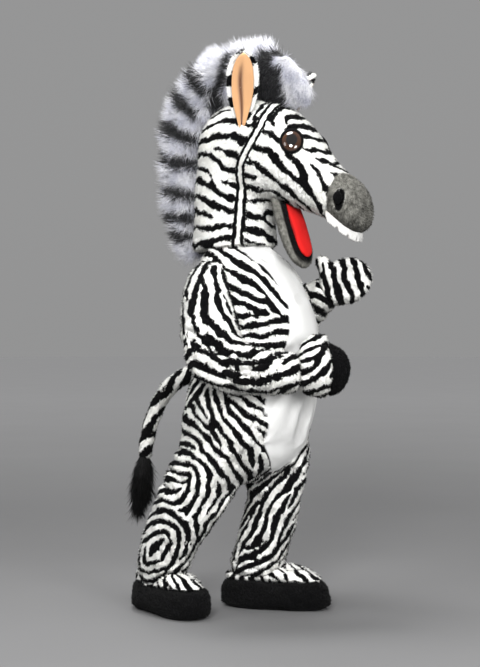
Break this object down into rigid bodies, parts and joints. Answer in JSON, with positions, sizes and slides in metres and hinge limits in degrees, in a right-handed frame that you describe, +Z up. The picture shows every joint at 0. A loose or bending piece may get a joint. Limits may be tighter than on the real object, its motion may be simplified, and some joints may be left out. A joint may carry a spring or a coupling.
{
  "type": "zebra walkabout costume figure",
  "caption": "Standing full-size plush zebra costume on its stuffed display form: striped suit with white belly, hooded head with long-pile mane, mitts, tail and overshoes.",
  "frame": {"origin": "middle of the figure's bounding box, on the floor it stands on", "axes": "+Z up from the soles to the mane, +X the way the figure faces, +Y towards its own left hand"},
  "size_m": [1.0174, 0.7868, 2.1497],
  "materials": {
    "plush_white": "short white pile printed with black stripes",
    "plush_belly": "short plain white pile",
    "plush_black": "black plush",
    "plush_grey": "short mottled grey pile",
    "long_pile": "long white pile with soft black patches",
    "ear_fleece": "smooth peach fleece",
    "tongue_felt": "red felt",
    "teeth_vinyl": "soft white vinyl",
    "eye_gloss": "glossy"
  },
  "bodies": {
    "root": {"jacket": "plush_white", "trousers": "plush_white", "belly_panel_upper": "plush_belly", "belly_panel_lower": "plush_belly", "upper_arm_right": "plush_white", "upper_arm_left": "plush_white", "forearm_right": "plush_white", "forearm_left": "plush_white", "mitt_right": "plush_white", "mitt_left": "plush_white", "hoof_pad_right": "plush_black", "hoof_pad_left": "plush_black", "thigh_right": "plush_white", "thigh_left": "plush_white", "shin_right": "plush_white", "shin_left": "plush_white", "shoe_top_right": "plush_white", "shoe_top_left": "plush_white", "shoe_wall_right": "plush_black", "shoe_wall_left": "plush_black", "tail": "plush_white", "tail_tassel": "plush_black", "neck": "plush_white", "head": "plush_white", "muzzle": "plush_grey", "nostril_right": "plush_black", "nostril_left": "plush_black", "lower_jaw": "plush_grey", "tongue": "tongue_felt", "upper_teeth": "teeth_vinyl", "eye_right": "eye_gloss", "eye_left": "eye_gloss", "ear_right": "plush_white", "ear_left": "plush_white", "ear_lining_right": "ear_fleece", "ear_lining_left": "ear_fleece", "mane": "long_pile"}
  },
  "joints": []
}
